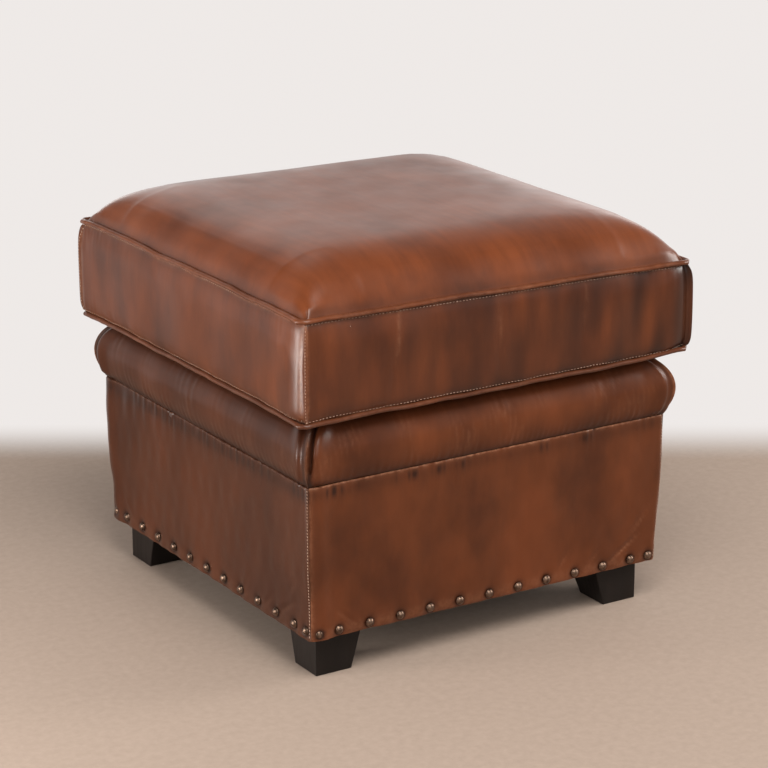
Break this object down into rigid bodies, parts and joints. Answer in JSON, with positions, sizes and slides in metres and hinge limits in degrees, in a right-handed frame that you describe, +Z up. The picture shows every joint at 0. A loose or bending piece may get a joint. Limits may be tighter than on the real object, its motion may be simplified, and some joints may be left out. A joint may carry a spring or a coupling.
{
  "type": "leather footstool",
  "caption": "Square upholstered footstool: a loose piped box cushion on a leather-covered base with a padded roll, nail trim and tapered block feet.",
  "frame": {"origin": "on the floor, under the middle of the stool", "axes": "+Z up, -Y out of the front, +X to the right seen from the front"},
  "size_m": [0.58, 0.58, 0.5305],
  "materials": {
    "leather": "antiqued semi-gloss chestnut leather with darker streaks",
    "welt_leather": "antiqued piping, rubbed paler along its crest",
    "dark_wood": "very dark satin lacquer over hardwood",
    "antique_bronze": "aged bronze with worn highlights",
    "plywood": "raw birch plywood",
    "softwood": "raw pine",
    "zinc_steel": "zinc plated",
    "foam": "open cell foam",
    "wadding": "polyester fibre",
    "webbing": "woven elastic webbing",
    "hessian": "coarse jute weave",
    "deck_cloth": "plain woven brown lining",
    "dust_cloth": "black non-woven cloth",
    "welt_cord": "twisted paper and fibre cord"
  },
  "bodies": {
    "base": {"corner_block_back_left": "softwood", "corner_block_back_right": "softwood", "corner_block_front_left": "softwood", "corner_block_front_right": "softwood", "corner_plate_back_left": "plywood", "corner_plate_back_right": "plywood", "corner_plate_front_left": "plywood", "corner_plate_front_right": "plywood", "deck_cloth": "deck_cloth", "deck_foam": "foam", "dust_cover": "dust_cloth", "foot_back_left": "dark_wood", "foot_back_right": "dark_wood", "foot_front_left": "dark_wood", "foot_front_right": "dark_wood", "frame_board_back": "plywood", "frame_board_front": "plywood", "frame_board_left": "plywood", "frame_board_right": "plywood", "frame_screws": "zinc_steel", "hanger_bolts": "zinc_steel", "hessian": "hessian", "nails_back": "antique_bronze", "nails_front": "antique_bronze", "nails_left": "antique_bronze", "nails_right": "antique_bronze", "roll_cover_back": "leather", "roll_cover_front": "leather", "roll_cover_left": "leather", "roll_cover_right": "leather", "roll_foam_back": "foam", "roll_foam_front": "foam", "roll_foam_left": "foam", "roll_foam_right": "foam", "side_panel_back": "leather", "side_panel_front": "leather", "side_panel_left": "leather", "side_panel_right": "leather", "side_wadding_back": "wadding", "side_wadding_front": "wadding", "side_wadding_left": "wadding", "side_wadding_right": "wadding", "tee_nuts": "zinc_steel", "webbing_crosswise": "webbing", "webbing_lengthwise": "webbing"},
    "cushion": {"cushion_bottom_panel": "leather", "cushion_boxing_back": "leather", "cushion_boxing_front": "leather", "cushion_boxing_left": "leather", "cushion_boxing_right": "leather", "cushion_fibre_wrap": "wadding", "cushion_foam": "foam", "cushion_top_panel": "leather", "cushion_welt_bottom": "welt_leather", "cushion_welt_top": "welt_leather", "welt_cord_bottom": "welt_cord", "welt_cord_top": "welt_cord"}
  },
  "joints": [
    {"name": "cushion_lift", "type": "slide", "parent": "base", "child": "cushion", "axis": [0, 0, 1], "range_m": [0, 0.2]}
  ]
}
